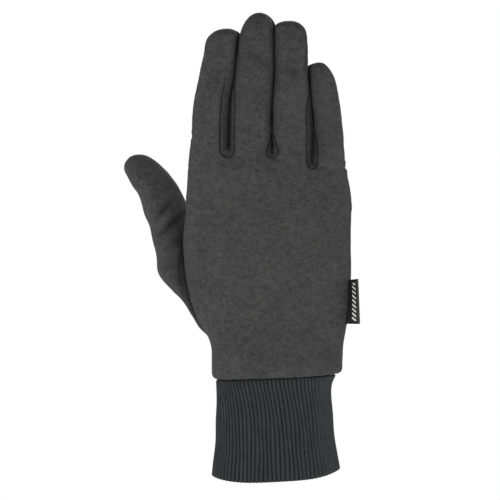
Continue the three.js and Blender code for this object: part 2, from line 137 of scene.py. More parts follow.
FINGER_COLUMNS = ("up", "deep")
FINGER_ROWS = [(-0.38, 0.7), (-0.2, 1.02), (0, 1.08), (0.3, 0.98), (0.6, 0.95), (1, 0.86)]

# U strips between the fingers: reach to either side and below the crotch, the crotch's height and the
# strip's upper end, as shares of the fingers' sizes.
FOURCHETTES = [
    dict(left=0.215, right=0.105, drop=0.19, crotch=0.1, top=0.8),
    dict(left=0.13, right=0.135, drop=0.12, crotch=0.03, top=0.82),
    dict(left=0.145, right=0.125, drop=0.16, crotch=-0.19, top=0.8),
]

# Where each strip's left and right side close in on the slit and where its seam fades out, from and to,
# as shares of the strip's height.
LEFT_CLOSING = ((0.8, 0.99), (-0.04, 0.16), (0.5, 0.9))
RIGHT_CLOSING = ((0.4, 0.75), (-0.01, 0.2), (0.2, 0.42))
SEAM_FADING = ((0.5, 0.86), (0.22, 0.4), (0.6, 0.95))

# Depth at which the strips' outlines are drawn, on the back of the hand
STRIP_DEPTH = 8

# How dark and how wide the painted shade in each slit is, by the slit's number, and a fainter painted
# shade around it.
SLIT_SHADES = (0, 0.6, 0.6, 0.72, 0)
SLIT_SPREADS = (1, 1, 1, 1.45, 1)
AROUND_SLIT = 0.08
AROUND_SPREAD = 2.8

# Thumb's two edges where they lie on the photograph, from the tip to the wrist (the right edge goes on
# inside the hand), then its thickness and depth as shares, and how far the right side sinks back.
THUMB_COLUMNS = ("left_px", "left_py", "right_px", "right_py", "thick", "deep", "roll")
THUMB_ROWS = [
    (127.9, 156.2, 128.5, 155.6, 0.03, 1.08, 0.02),
    (125.2, 158.9, 132.2, 154.2, 0.32, 1.08, 0.04),
    (122.9, 162.3, 137.2, 153.3, 0.52, 1.08, 0.07),
    (122.0, 166.4, 142.8, 153.8, 0.66, 1.07, 0.1),
    (122.6, 170.7, 148.8, 156.0, 0.76, 1.06, 0.13),
    (125.4, 175.7, 155.3, 160.4, 0.84, 1.04, 0.17),
    (130.4, 183.7, 162.0, 166.7, 0.92, 1.0, 0.22),
    (136.4, 192.0, 169.9, 175.1, 0.98, 0.96, 0.28),
    (140.2, 202.2, 176.8, 184.2, 1.0, 0.92, 0.34),
    (143.9, 216.2, 184.4, 200.4, 1.04, 0.87, 0.42),
    (149.0, 228.0, 192.0, 215.0, 1.1, 0.82, 0.48),
    (152.2, 241.3, 199.0, 232.0, 1.16, 0.77, 0.5),
    (155.2, 257.6, 207.0, 251.0, 1.22, 0.72, 0.48),
    (156.4, 270.8, 216.0, 270.0, 1.25, 0.67, 0.44),
    (161.8, 280.6, 222.0, 284.0, 1.24, 0.63, 0.4),
    (170.4, 289.2, 228.0, 299.0, 1.22, 0.58, 0.34),
    (179.6, 298.4, 233.0, 314.0, 1.18, 0.54, 0.28),
    (186.4, 307.4, 238.0, 328.0, 1.12, 0.5, 0.22),
    (191.6, 316.2, 241.0, 340.0, 1.02, 0.47, 0.16),
    (199.2, 328.2, 244.0, 352.0, 0.9, 0.43, 0.1),
    (210.0, 339.0, 246.0, 362.0, 0.76, 0.4, 0.05),
    (218.0, 350.0, 247.0, 369.0, 0.6, 0.36, 0),
]

# Cuff sections from the hem to the seam: size and shift as shares of the wrist's, slant in ribs.
CUFF_COLUMNS = ("up", "wide", "deep", "shift", "slant")
CUFF_ROWS = [
    (0.013, 1.064, 1.05, 0.003, 0),
    (0.3, 1.002, 1.003, -0.004, 0),
    (0.62, 0.97, 0.97, -0.013, -0.2),
    (0.82, 0.954, 0.957, -0.018, -0.7),
    (0.92, 0.966, 0.965, -0.014, -1.3),
    (1, 1.005, 0.99, 0.001, -1.9),
]


def columns(names, rows):
    """Table as one array for each named column."""
    return {name: np.array([row[i] for row in rows], float) for i, name in enumerate(names)}


PALM = columns(PALM_COLUMNS, PALM_ROWS)
LINES = columns(LINE_COLUMNS, LINE_ROWS)
FINGER = columns(FINGER_COLUMNS, FINGER_ROWS)
CUFF = columns(CUFF_COLUMNS, CUFF_ROWS)


def smooth_value(table, name, place):
    """Smooth value of a column at places between the rows."""
    ups = table["up"]
    values = table[name]
    at = np.clip(place, ups[0], ups[-1])
    k = np.clip(np.searchsorted(ups, at, side="right") - 1, 0, len(ups) - 2)
    slopes = np.empty(len(ups))
    slopes[1:-1] = (values[2:] - values[:-2]) / (ups[2:] - ups[:-2])
    slopes[0] = (values[1] - values[0]) / (ups[1] - ups[0])
    slopes[-1] = (values[-1] - values[-2]) / (ups[-1] - ups[-2])
    span = ups[k + 1] - ups[k]
    t = (at - ups[k]) / span
    t2 = t * t
    t3 = t2 * t
    return (
        (2 * t3 - 3 * t2 + 1) * values[k]
        + (t3 - 2 * t2 + t) * span * slopes[k]
        + (3 * t2 - 2 * t3) * values[k + 1]
        + (t3 - t2) * span * slopes[k + 1]
    )


def smoothstep(low, high, value):
    t = np.clip((value - low) / (high - low), 0, 1)
    return t * t * (3 - 2 * t)


def bell(distance, spread):
    return np.exp(-((distance / spread) ** 2))


def curl_at(z):
    share = np.maximum(0, (z - KNUCKLE_HEIGHT) / MIDDLE["length"])
    return FINGER_CURL * share * share


def side_seam_at(z):
    """Depth of the seam that joins back and palm along both edges of the hand."""
    rise = smoothstep(CUFF_LENGTH + 0.6 * PALM_LENGTH, KNUCKLE_HEIGHT, z)
    return -SEAM_FORWARD * (1 - rise) + curl_at(z)


def line_at(k, z):
    """X of the line between finger k - 1 and finger k."""
    start = KNUCKLE_SHIFT - KNUCKLE_WIDTH / 2 + sum(finger["width"] for finger in FINGERS[:k])
    up = (z - KNUCKLE_HEIGHT) / MIDDLE["length"]
    return start + KNUCKLE_WIDTH * smooth_value(LINES, f"line{k}", up)


def blended(a, b, reach):
    """Smaller of two distances, rounded over where they are within reach of each other."""
    h = np.maximum(reach - np.abs(a - b), 0) / np.maximum(reach, 1e-6)
    return np.minimum(a, b) - h * h * reach / 4


def palm_reaches(up):
    """How far the palm reaches to its left and right edge, at a share of its height."""
    half_wrist = WRIST_WIDTH / 2
    left = half_wrist + smooth_value(PALM, "left", up) * (LEFT_REACH - half_wrist)
    right = half_wrist + smooth_value(PALM, "right", up) * (RIGHT_REACH - half_wrist)
    return left, right


def palm_depth(up):
    """Half the palm's depth, at a share of its height."""
    deep = (WRIST_DEPTH + (HAND_THICKNESS - WRIST_DEPTH) * smooth_value(PALM, "deep", up)) / 2
    return deep * smooth_value(PALM, "shut", up)


# Rounds in which a tilted section's height is found, a ratio too near the middle for a direction, and
# a distance beyond all others
TILT_ROUNDS = 3
SMALLEST = 1e-3
FAR = 1e9


def palm_distance(p):
    """Signed distance to the palm's skin, close to true near the skin."""
    x, y, z = p[:, 0], p[:, 1], p[:, 2]
    height = z
    for _ in range(TILT_ROUNDS):
        up = (height - CUFF_LENGTH) / PALM_LENGTH
        left, right = palm_reaches(up)
        height = z - smooth_value(PALM, "tilt", up) * (x - (right - left) / 2)
    up = (height - CUFF_LENGTH) / PALM_LENGTH
    left, right = palm_reaches(up)
    radial = section_distance(x - (right - left) / 2, y, (left + right) / 2, palm_depth(up))
    return np.maximum(radial, height - KNUCKLE_HEIGHT)


def oblong_ratio(u, v, half_wide, half_deep, power):
    """How far out a point lies as a share of the way to a rounded oblong's edge."""
    return ((np.abs(u) / half_wide) ** power + (np.abs(v) / half_deep) ** power) ** (1 / power)


def ray_distance(ratio, reach, half_wide, half_deep):
    """Distance to an edge along the ray from the middle, for a point at a reach and its ratio."""
    inside = -np.minimum(half_wide, half_deep)
    return np.where(ratio > SMALLEST, reach * (1 - 1 / np.maximum(ratio, SMALLEST)), inside)


def section_distance(u, v, half_wide, half_deep, power=SECTION_POWER):
    """Distance to a rounded oblong's edge."""
    ratio = oblong_ratio(u, v, half_wide, half_deep, power)
    return ray_distance(ratio, np.hypot(u, v), half_wide, half_deep)


def slit_middle(i, y, z):
    """X of the middle of slit i, which steps sideways through the depth."""
    level = (FINGERS[max(i - 1, 0)]["deeper"] + FINGERS[min(i, 3)]["deeper"]) / 2
    v = y - curl_at(z) - level
    return line_at(i, z) + SLIT_STEP[i] * (smoothstep(-1.5, 5.5, v) - 0.25)


def slit_hollow(i, y, z):
    """Half of the width by which slit i is opened in front, just above its crotch."""
    if not SLIT_HOLLOW[i]:
        return 0 * z
    t = (z - crotch_height(i - 1)) / SLIT_HOLLOW_HEIGHT[i]
    front = smoothstep(0, -5.5, y - curl_at(z))
    return SLIT_HOLLOW[i] / 2 * smoothstep(-0.15, 0.12, t) * (1 - smoothstep(0.2, 1, t)) * front


def finger_sides(k, y, z):
    """X of a finger's two sides at a depth and a height."""
    left = slit_middle(k, y, z) + FINGER_GAP / 2 + slit_hollow(k, y, z)
    right = slit_middle(k + 1, y, z) - FINGER_GAP / 2 - slit_hollow(k + 1, y, z)
    return left, right


def finger_distance(k, p):
    """Signed distance to one finger's skin."""
    finger, tip = FINGERS[k], TIPS[k]
    x, y, z = p[:, 0], p[:, 1], p[:, 2]
    v = y - finger["deeper"] - curl_at(z)
    left, right = finger_sides(k, y, z)
    top = KNUCKLE_HEIGHT + finger["length"]
    width = finger["width"]
    peak = 0.5 + (tip["peak"] - 0.5) * smoothstep(top - 1.8 * width, top - 0.2 * width, z)
    centre = left + (right - left) * peak
    u = x - centre
    half_wide = np.where(u < 0, centre - left, right - centre)
    turn = smoothstep(-1, 1, u / half_wide)
    cap = width * (tip["left"] + (tip["right"] - tip["left"]) * turn)
    w = np.maximum(0, z - (top - cap))
    up = (z - KNUCKLE_HEIGHT) / finger["length"]
    half_deep = finger["thickness"] / 2 * smooth_value(FINGER, "deep", up)
    power = np.where(u < 0, tip["left_power"], tip["right_power"])
    ratio = oblong_ratio(oblong_ratio(u, v, half_wide, half_deep, power), w, 1, cap, TIP_POWER)
    radial = ray_distance(ratio, np.sqrt(u * u + v * v + w * w), half_wide, half_deep)
    return np.maximum(radial, KNUCKLE_HEIGHT - FINGER_ROOT - z)


def crotch_height(k):
    return KNUCKLE_HEIGHT + FOURCHETTES[k]["crotch"] * MIDDLE["width"]


def hand_distance(p, own_finger):
    """Distance to the hand's skin; above the crotches only the finger that a point belongs to counts."""
    z = p[:, 2]
    fingers = [finger_distance(k, p) for k in range(4)]
    joined = fingers[0]
    for k in range(3):
        below = crotch_height(k) - z
        reach = np.clip(below * 0.8, 0, NEIGHBOUR_BLEND)
        joined = blended(joined, fingers[k + 1], reach)
    own = np.choose(own_finger, fingers)
    crotch = np.array([crotch_height(k) for k in range(3)])
    low = np.minimum(crotch[np.clip(own_finger - 1, 0, 2)], crotch[np.clip(own_finger, 0, 2)])
    side = np.where(z > low + ALONE_ABOVE, own, np.minimum(joined, own))
    return blended(palm_distance(p), side, PALM_BLEND)


def finger_of(p):
    """Number of the finger on whose side of the slits a point lies."""
    count = np.zeros(len(p), int)
    for k in range(1, 4):
        count += p[:, 0] > slit_middle(k, p[:, 1], p[:, 2])
    return count


def gradient(field, p, step=0.25):
    slope = np.empty_like(p)
    for axis in range(3):
        shift = np.zeros(3)
        shift[axis] = step
        slope[:, axis] = (field(p + shift) - field(p - shift)) / (2 * step)
    return slope


def onto_surface(field, p, rounds):
    """Points moved to where a distance is zero."""
    for _ in range(rounds):
        slope = gradient(field, p)
        length = np.maximum((slope**2).sum(axis=1), 0.05)
        p = p - (np.clip(field(p), -1.5, 1.5) / length)[:, None] * slope
    return p


def unit(vectors):
    return vectors / np.maximum(np.linalg.norm(vectors, axis=-1, keepdims=True), 1e-9)


def triangles_of(faces):
    """Quads split into triangles, as one array."""
    out = []
    for face in faces:
        for i in range(1, len(face) - 1):
            out.append((face[0], face[i], face[i + 1]))
    return np.array(out, int)


def vertex_normals(points, tris):
    a, b, c = (points[tris[:, i]] for i in range(3))
    face = np.cross(b - a, c - a)
    normals = np.zeros_like(points)
    for i in range(3):
        np.add.at(normals, tris[:, i], face)
    return unit(normals)


def edges_of(tris):
    return np.unique(np.sort(tris[:, [0, 1, 1, 2, 2, 0]].reshape(-1, 2), axis=1), axis=0)


def smoothed(points, tris, rounds, share):
    """Points drawn towards the mean of their neighbours."""
    edges = edges_of(tris)
    both = np.concatenate([edges, edges[:, ::-1]])
    count = np.bincount(both[:, 0], minlength=len(points))[:, None]
    for _ in range(rounds):
        total = np.zeros_like(points)
        np.add.at(total, both[:, 0], points[both[:, 1]])
        points = points + share * (total / np.maximum(count, 1) - points)
    return points


# Painted shade on a strip's sunk floor and on the little finger beside the ring finger
STRIP_SHADE = 0.08
LITTLE_SHADE = 0.32
LITTLE_SPREAD = 6.5

# How far the hand's skin goes on under the thumb's, and a distance at which no seam is felt
THUMB_OVERLAP = 1.6
NO_SEAM = 9

# Nearer to a cut than this share of an edge, a point is drawn onto the cut
SNAP = 0.16


def crossings(tris, values):
    """Edges whose ends lie on both sides of zero, and the share along each where zero is."""
    edges = edges_of(tris)
    a, b = values[edges[:, 0]], values[edges[:, 1]]
    cut = a * b < 0
    return edges[cut], a[cut] / (a[cut] - b[cut])


def split_by(data, tris, values):
    """Triangles cut along the line where a value per point is zero, so each lies on one side.

    Points that lie close to the line are first drawn onto it, which keeps slivers out.
    """
    data = data.copy()
    values = np.where(np.abs(values) < 1e-5, 0, values)
    edges, share = crossings(tris, values)
    for near, far, part in ((0, 1, share), (1, 0, 1 - share)):
        close = part < SNAP
        here, there = edges[close, near], edges[close, far]
        data[here] = data[here] + part[close, None] * (data[there] - data[here])
        values[here] = 0
    edges, share = crossings(tris, values)
    added = data[edges[:, 0]] * (1 - share[:, None]) + data[edges[:, 1]] * share[:, None]
    key = {(int(a), int(b)): len(data) + i for i, (a, b) in enumerate(edges)}
    sign = np.sign(values).astype(int)
    mixed = (sign[tris].max(axis=1) > 0) & (sign[tris].min(axis=1) < 0)
    kept = [tris[~mixed]]
    more = []
    for tri in tris[mixed].tolist():
        flags = [sign[i] for i in tri]
        if 0 in flags:
            turn = flags.index(0)
            a, b, c = (tri[(turn + i) % 3] for i in range(3))
            bc = key[(min(b, c), max(b, c))]
            more += [(a, b, bc), (a, bc, c)]
        else:
            turn = flags.index(1) if flags.count(1) == 1 else flags.index(-1)
            a, b, c = (tri[(turn + i) % 3] for i in range(3))
            ab = key[(min(a, b), max(a, b))]
            ca = key[(min(a, c), max(a, c))]
            more += [(a, ab, ca), (ab, b, c), (ab, c, ca)]
    if more:
        kept.append(np.array(more, int))
    return np.vstack([data, added]), np.vstack(kept)


def compact(points, tris):
    """Only the points that the triangles use."""
    used, index = np.unique(tris, return_inverse=True)
    return points[used], index.reshape(-1, 3), used


def outline_distance(outline, x, z):
    """Distance from points to a closed outline, below zero inside it."""
    near = np.full(len(x), FAR)
    inside = np.zeros(len(x), bool)
    for (ax, az), (bx, bz) in zip(outline, np.roll(outline, -1, axis=0)):
        dx, dz = bx - ax, bz - az
        t = np.clip(((x - ax) * dx + (z - az) * dz) / (dx * dx + dz * dz), 0, 1)
        near = np.minimum(near, np.hypot(x - ax - t * dx, z - az - t * dz))
        spans = (az > z) != (bz > z)
        if bz != az:
            inside ^= spans & (x < dx * (z - az) / (bz - az) + ax)
    return np.where(inside, -near, near)


def closing(shares, ends):
    """How wide one side of a strip still is, falling to almost nothing between two shares."""
    return 0.1 + 0.9 * (1 - smoothstep(ends[0], ends[1], shares))


def strip_end(k):
    shorter = min(FINGERS[k]["length"], FINGERS[k + 1]["length"])
    return KNUCKLE_HEIGHT + FOURCHETTES[k]["top"] * shorter


def seam_left(k, z):
    """How much of a strip's seam still shows at a height: all of it low down, none at its end."""
    share = (z - crotch_height(k)) / (strip_end(k) - crotch_height(k))
    return 1 - smoothstep(SEAM_FADING[k][0], SEAM_FADING[k][1], share)


def fourchette_outline(k):
    """Outline of a U strip seen from the back of the hand."""
    strip = FOURCHETTES[k]
    near, far = FINGERS[k], FINGERS[k + 1]
    crotch = crotch_height(k)
    end = strip_end(k)
    left = strip["left"] * near["width"]
    right = strip["right"] * far["width"]
    drop = strip["drop"] * MIDDLE["width"]
    turns = np.linspace(0, math.pi, 25)
    x0 = float(slit_middle(k + 1, -STRIP_DEPTH, np.array(crotch)))
    reach = np.where(turns < math.pi / 2, left, right)
    bottom = np.stack([x0 - reach * np.cos(turns), crotch - drop * np.sin(turns)], axis=1)
    shares = np.linspace(0.03, 0.97, 26)
    heights = crotch + (end - crotch) * shares
    lines = slit_middle(k + 1, -STRIP_DEPTH, heights)
    up = np.stack([lines + right * closing(shares, RIGHT_CLOSING[k]), heights], axis=1)
    down = np.stack([lines - left * closing(shares, LEFT_CLOSING[k]), heights], axis=1)[::-1]
    tip = np.array([[float(slit_middle(k + 1, -STRIP_DEPTH, np.array(end))), end]])
    return np.vstack([bottom, up, tip, down])


STRIP_OUTLINES = [fourchette_outline(k) for k in range(3)]


def strip_distance(k, p):
    """Distance to the outline of a strip, which follows its slit through the depth."""
    y, z = p[:, 1], p[:, 2]
    shift = slit_middle(k + 1, y, z) - slit_middle(k + 1, 0 * y - STRIP_DEPTH, z)
    return outline_distance(STRIP_OUTLINES[k], p[:, 0] - shift, z)


def make_mesh(name, points, faces):
    mesh = bpy.data.meshes.new(name)
    mesh.from_pydata((np.asarray(points) * MM).tolist(), [], [tuple(int(i) for i in f) for f in faces])
    mesh.update()
    mesh.polygons.foreach_set("use_smooth", [True] * len(mesh.polygons))
    return mesh


def add_object(name, data):
    obj = bpy.data.objects.new(name, data)
    bpy.context.scene.collection.objects.link(obj)
    return obj


def applied(obj):
    """New mesh of an object with its modifiers applied."""
    graph = bpy.context.evaluated_depsgraph_get()
    return bpy.data.meshes.new_from_object(obj.evaluated_get(graph))


def seeded_noise(p, size, seed):
    """Smooth noise from a few waves in seeded directions, mostly between -1 and 1."""
    source = np.random.default_rng(seed)
    total = np.zeros(len(p))
    for _ in range(9):
        direction = unit(source.normal(size=3))
        wave = 2 * math.pi / (size * source.uniform(0.7, 1.5))
        total += np.sin(p @ direction * wave + source.uniform(0, 2 * math.pi))
    return total / 4


# Coarse forms under the hand's skin
VOXEL = 0.72
BASE_SHRINK = 1.0
PALM_RINGS = 60
PALM_SIDES = 96
FINGER_RINGS = 30
FINGER_ROUND = 48
CAP_RINGS = 12


def oblong(sides, power):
    """Across and depth of points round a rounded oblong of half size 1."""
    turns = np.linspace(0, 2 * math.pi, sides, endpoint=False)
    c, s = np.cos(turns), np.sin(turns)
    return np.sign(c) * np.abs(c) ** (2 / power), np.sign(s) * np.abs(s) ** (2 / power)


def loft_points(middle_x, middle_y, height, half_wide, half_deep, sides):
    """Rings of a rounded oblong for arrays of sections."""
    across, deep = oblong(sides, SECTION_POWER)
    x = middle_x[:, None] + half_wide[:, None] * across
    y = middle_y[:, None] + half_deep[:, None] * deep
    z = np.broadcast_to(height[:, None], x.shape)
    return np.stack([x, y, z], axis=-1)


def quads_between(rows):
    """Quads between neighbouring rows of point numbers; each row is closed in a ring."""
    beside = np.roll(rows, -1, axis=1)
    return np.stack([rows[:-1], beside[:-1], beside[1:], rows[1:]], axis=-1).reshape(-1, 4).tolist()


def closed_loft(rings):
    """Points and faces of rings closed by a fan at each end."""
    count, sides, _ = rings.shape
    points = np.vstack([rings.reshape(-1, 3), rings[0].mean(axis=0), rings[-1].mean(axis=0)])
    here = np.arange(count * sides).reshape(count, sides)
    first, last = count * sides, count * sides + 1
    faces = quads_between(here)
    for i, j in zip(here[0].tolist(), np.roll(here[0], -1).tolist()):
        faces.append((first, j, i))
        faces.append((last, (count - 1) * sides + i, (count - 1) * sides + j))
    return points, faces


def rough_palm():
    """Closed coarse form of the palm."""
    ups = np.linspace(-0.03, 0.985, PALM_RINGS)
    left, right = palm_reaches(ups)
    middle = (right - left) / 2
    heights = CUFF_LENGTH + ups * PALM_LENGTH
    rings = loft_points(middle, 0 * ups, heights, (left + right) / 2, palm_depth(ups), PALM_SIDES)
    rings[:, :, 2] += smooth_value(PALM, "tilt", ups)[:, None] * (rings[:, :, 0] - middle[:, None])
    return closed_loft(rings)


def rough_finger(k):
    """Closed coarse form of one finger."""
    finger = FINGERS[k]
    cap = 0.42 * finger["width"]
    turns = np.linspace(0, math.pi / 2, CAP_RINGS)[:-1]
    root = KNUCKLE_HEIGHT - FINGER_ROOT
    cap_start = KNUCKLE_HEIGHT + finger["length"] - cap
    shaft = np.linspace(root, cap_start, FINGER_RINGS)[:-1]
    heights = np.concatenate([shaft, cap_start + (cap - BASE_SHRINK) * np.sin(turns)])
    rounding = np.concatenate([np.ones(len(shaft)), np.cos(turns) ** 0.9])
    left = line_at(k, heights) + FINGER_GAP / 2
    right = line_at(k + 1, heights) - FINGER_GAP / 2
    up = (heights - KNUCKLE_HEIGHT) / finger["length"]
    deep = finger["thickness"] / 2 * smooth_value(FINGER, "deep", up)
    rings = loft_points(
        (left + right) / 2 + (TIPS[k]["peak"] - 0.5) * (right - left) * (1 - rounding),
        finger["deeper"] + curl_at(heights),
        heights,
        ((right - left) / 2 - BASE_SHRINK) * rounding,
        (deep - BASE_SHRINK / 2) * rounding,
        FINGER_ROUND,
    )
    t = ((rings[:, :, 0] - left[:, None]) / (right - left)[:, None]).clip(0, 1)
    z = rings[:, :, 2]
    left_shift = slit_middle(k, rings[:, :, 1], z) - line_at(k, z)
    right_shift = slit_middle(k + 1, rings[:, :, 1], z) - line_at(k + 1, z)
    rings[:, :, 0] += left_shift * (1 - t) + right_shift * t
    return closed_loft(rings)


def rough_hand():
    """Coarse closed forms in one mesh, fused by a fine voxel remesh."""
    points, faces = rough_palm()
    for k in range(4):
        more, more_faces = rough_finger(k)
        faces = faces + [tuple(i + len(points) for i in face) for face in more_faces]
        points = np.vstack([points, more])
    rough = add_object("rough_hand", make_mesh("rough_hand", points, faces))
    remesh = rough.modifiers.new("even", "REMESH")
    remesh.mode = "VOXEL"
    remesh.voxel_size = VOXEL * MM
    mesh = applied(rough)
    out = np.empty(len(mesh.vertices) * 3)
    mesh.vertices.foreach_get("co", out)
    quads = [tuple(face.vertices) for face in mesh.polygons]
    bpy.data.objects.remove(rough, do_unlink=True)
    bpy.data.meshes.remove(mesh)
    return out.reshape(-1, 3) / MM, triangles_of(quads)


# Millimetres for each pixel of the photograph, and the pixel column and row where X and Z are zero
PIXEL = 0.54
PHOTO_MIDDLE = 276
PHOTO_HEM = 480


def from_photo(px, py):
    """Frame X and Z of a pixel of the photograph, in millimetres."""
    return (px - PHOTO_MIDDLE) * PIXEL, (PHOTO_HEM - py) * PIXEL


def thumb_sections():
    """Both edges, half thickness, depth and roll of the thumb, evenly spaced from tip to wrist."""
    thumb = columns(THUMB_COLUMNS, THUMB_ROWS)
    left = np.stack(from_photo(thumb["left_px"], thumb["left_py"]), axis=1)
    right = np.stack(from_photo(thumb["right_px"], thumb["right_py"]), axis=1)
    along = np.concatenate([[0], np.cumsum(np.hypot(*np.diff(left, axis=0).T))])
    places = np.linspace(0, along[-1], int(along[-1] / THUMB_STEP))

    def even(values):
        return smooth_value({"up": along, "value": values}, "value", places)

    return (
        np.stack([even(left[:, 0]), even(left[:, 1])], axis=1),
        np.stack([even(right[:, 0]), even(right[:, 1])], axis=1),
        np.maximum(even(thumb["thick"] * THUMB_THICKNESS / 2), THUMB_THINNEST),
        even(thumb["deep"] * THUMB_DEPTH),
        even(thumb["roll"] * THUMB_THICKNESS),
    )


THUMB_LEFT, THUMB_RIGHT, THUMB_HALF_DEEP, THUMB_LEVEL, THUMB_ROLL = thumb_sections()
THUMB_MIDDLE = (THUMB_LEFT + THUMB_RIGHT) / 2
THUMB_SIDE = (THUMB_RIGHT - THUMB_LEFT) / 2

# Only every third section measures distances, and none in the tip; farther off than the last number
# a point has no thumb beside it.
THUMB_TESTED = range(14, len(THUMB_ROLL), 3)
THUMB_NEAR = 4
NO_THUMB = 1e3


def thumb_roll(across, roll):
    """How much deeper the thumb lies towards its right side, across being -1 to 1."""
    return roll * smoothstep(-0.5, 1.1, across)


def thumb_distance(p):
    """Signed distance to the thumb's skin, by its nearest section."""
    out = np.full(len(p), FAR)
    along = np.full(len(p), FAR)
    for i in THUMB_TESTED:
        half_wide = float(np.hypot(*THUMB_SIDE[i]))
        side = THUMB_SIDE[i] / half_wide
        offset = p[:, [0, 2]] - THUMB_MIDDLE[i]
        shift = np.abs(offset @ np.array([-side[1], side[0]]))
        closer = shift < along
        across = offset @ side
        depth = p[:, 1] - THUMB_LEVEL[i] - thumb_roll(across / half_wide, THUMB_ROLL[i])
        d = section_distance(across, depth, half_wide, THUMB_HALF_DEEP[i], THUMB_POWER)
        out[closer] = d[closer]
        along[closer] = shift[closer]
    return np.where(along < THUMB_NEAR, out, NO_THUMB)


def crease(p, normals, start, end, depth, spread, face):
    """Depth of one soft groove at each point, on the back (-1) or palm (1) side."""
    a = np.array(from_photo(*start))
    b = np.array(from_photo(*end))
    here = p[:, [0, 2]]
    run = b - a
    t = np.clip(((here - a) @ run) / (run @ run), 0, 1)
    away = np.linalg.norm(here - a - t[:, None] * run, axis=1)
    fade = np.sin(np.pi * np.clip(0.12 + 0.76 * t, 0, 1))
    facing = np.clip(face * normals[:, 1] * 2, 0, 1)
    return depth * fade * facing * bell(away, spread)


# Creases and folds: from and to in pixels of the photograph, depth and spread in millimetres, and the
# side they are on. Those of the palm are placed as if seen through the hand.
HAND_CREASES = [
    ((246, 51), (267, 64), 0.85, 2.4, -1),
    ((282, 68), (299, 74), 0.75, 2.2, -1),
    ((212, 80), (222, 84), 0.25, 4.0, -1),
    ((252, 96), (262, 97), 0.25, 4.5, -1),
    ((196, 300), (191, 262), 0.5, 2.4, -1),
    ((215, 352), (232, 346), 0.35, 3.0, -1),
    ((318, 352), (338, 344), 0.35, 3.0, -1),
    ((240, 260), (300, 150), 1.2, 6.0, 1),
    ((215, 190), (330, 205), 1.0, 5.0, 1),
    ((220, 172), (232, 172), 0.5, 3.0, 1),
]


def seam_groove(distance):
    """Height of the cloth beside a sewn seam: a narrow groove in a soft dip."""
    return -0.5 * bell(distance, 0.5) - 0.2 * bell(distance, 1.7)


def strip_relief(inwards):
    """Height across a U strip's seam, by the distance inside it: groove, piped edge, sunk strip."""
    groove = -0.6 * bell(inwards, 0.42) - 0.2 * bell(inwards, 1.3)
    piping = 0.6 * bell(inwards - 1.05, 0.4)
    return groove + piping - 0.25 * smoothstep(0.9, 2.2, inwards)


def pucker(distance, along, seed):
    """Small ripples that a seam draws into the cloth on both sides of it."""
    source = np.random.default_rng(seed)
    wave = np.zeros_like(distance)
    for size in (2.9, 4.3, 6.1):
        wave += np.sin(2 * math.pi * along / size + source.uniform(0, 6.28))
    return 0.06 * wave * bell(distance, 2.4)


SEAM_SLOPE = 0.042
SEAM_LEVEL = 1.1
# Gathers of the hand's cloth at the cuff: how many go round, and where each row of them starts
CUFF_GATHERS = ((31, 0.4), (43, 2.1), (19, 4.0))


def cuff_seam_at(x):
    """Height of the seam between hand and cuff, a little lower towards the thumb."""
    return CUFF_LENGTH + SEAM_LEVEL + SEAM_SLOPE * (x - WRIST_WIDTH / 4)


def above_cuff(p):
    return p[:, 2] - cuff_seam_at(p[:, 0])


def outside_thumb(p):
    return thumb_distance(p[:, :3]) + THUMB_OVERLAP


def kept_outside(data, tris, field):
    """Triangles cut where a field is zero, and of them only those where it is above zero."""
    data, tris = split_by(data, tris, field(data))
    return data, tris[field(data[tris, :3].mean(axis=1)) > 0]


def cut_skin():
    """Skin of the hand cut along its panels' edges: points with their normals, and triangles."""
    points, tris = rough_hand()
    own = finger_of(points)

    def field(p):
        return hand_distance(p, own)

    points = onto_surface(field, points, 5)
    points = smoothed(points, tris, 3, 0.4)
    points = onto_surface(field, points, 3)
    data = np.hstack([points, vertex_normals(points, tris)])
    data, tris = kept_outside(data, tris, above_cuff)
    for k in range(3):
        data, tris = split_by(data, tris, strip_distance(k, data))
    data, tris = split_by(data, tris, data[:, 1] - side_seam_at(data[:, 2]))
    data, tris = kept_outside(data, tris, outside_thumb)
    return compact(data, tris)[:2]


def slit_shade(x, y, z):
    """Painted shade in the slits, and on the little finger beside the ring finger."""
    shade = 0
    for i in range(1, 4):
        slit = np.abs(x - slit_middle(i, y, z))
        above_crotch = smoothstep(-3, 0.5, z - crotch_height(i - 1))
        around = AROUND_SLIT * bell(slit, AROUND_SPREAD)
        shade = shade + above_crotch * (SLIT_SHADES[i] * bell(slit, SLIT_SPREADS[i]) + around)
    beside_ring = x - slit_middle(3, y, z)
    high = smoothstep(0, 6, z - crotch_height(2))
    return shade + LITTLE_SHADE * high * bell(beside_ring, LITTLE_SPREAD) * (beside_ring > 0)


